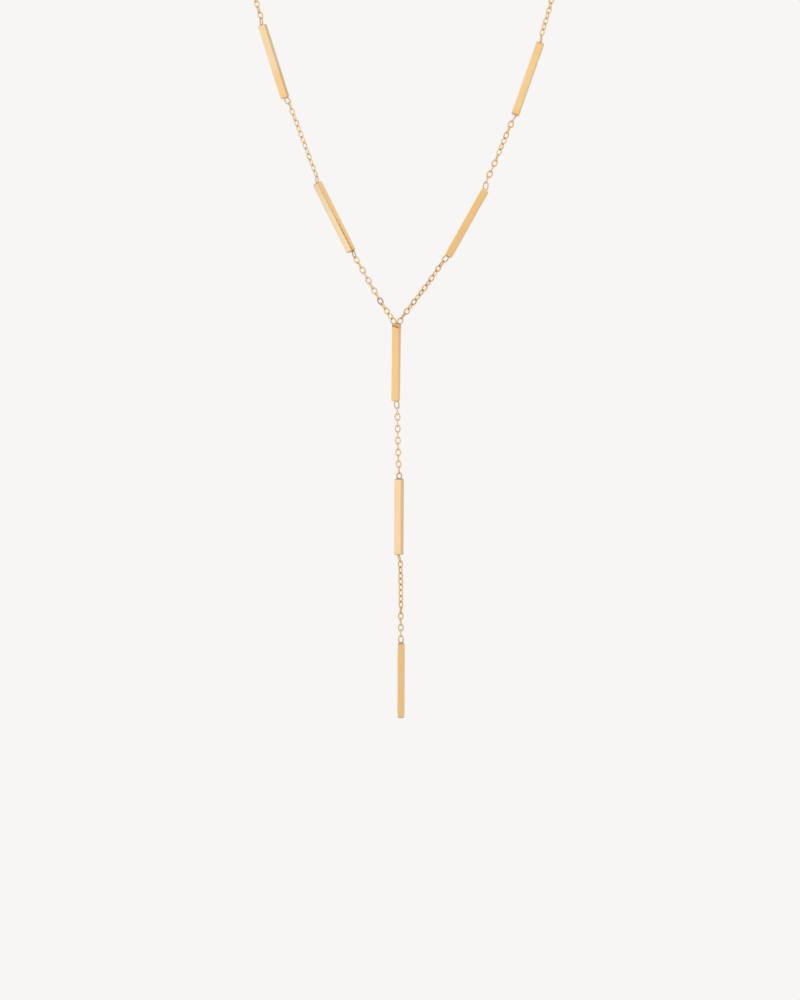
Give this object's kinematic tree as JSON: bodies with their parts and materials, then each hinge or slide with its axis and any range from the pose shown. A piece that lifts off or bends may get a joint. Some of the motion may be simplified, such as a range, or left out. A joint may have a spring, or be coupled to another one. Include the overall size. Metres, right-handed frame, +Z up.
{
  "type": "y necklace",
  "caption": "Y necklace of fine gold cable chain with slim square bars along both sides and down a long straight drop, closed by a round clasp at the nape.",
  "frame": {"origin": "middle of the clasp at the nape, where the loop hangs on the neck", "axes": "+Z up along the hanging drop, the front of the necklace faces -Y, +X to the right as seen from the front"},
  "size_m": [0.0826, 0.0889, 0.2132],
  "materials": {
    "bar_gold": "gold plated, polished flat faces with a soft satin sheen",
    "chain_gold": "gold plated, polished round wire",
    "clasp_gold": "gold plated, polished"
  },
  "bodies": {
    "necklace": {"left_upper_bar": "bar_gold", "left_lower_bar": "bar_gold", "right_upper_bar": "bar_gold", "right_lower_bar": "bar_gold", "upper_drop_bar": "bar_gold", "middle_drop_bar": "bar_gold", "left_back_chain": "chain_gold", "right_back_chain": "chain_gold", "left_middle_chain": "chain_gold", "right_middle_chain": "chain_gold", "left_front_chain": "chain_gold", "right_front_chain": "chain_gold", "upper_drop_chain": "chain_gold", "lower_drop_chain": "chain_gold", "clasp": "clasp_gold", "jump_ring": "clasp_gold"},
    "end_bar": {"end_drop_bar": "bar_gold"}
  },
  "joints": [
    {"name": "end_bar_swing", "type": "hinge", "parent": "necklace", "child": "end_bar", "pos_m": [0.00105, -0.086, -0.19026], "axis": [0, 1, 0], "range_deg": [-75, 75]}
  ]
}
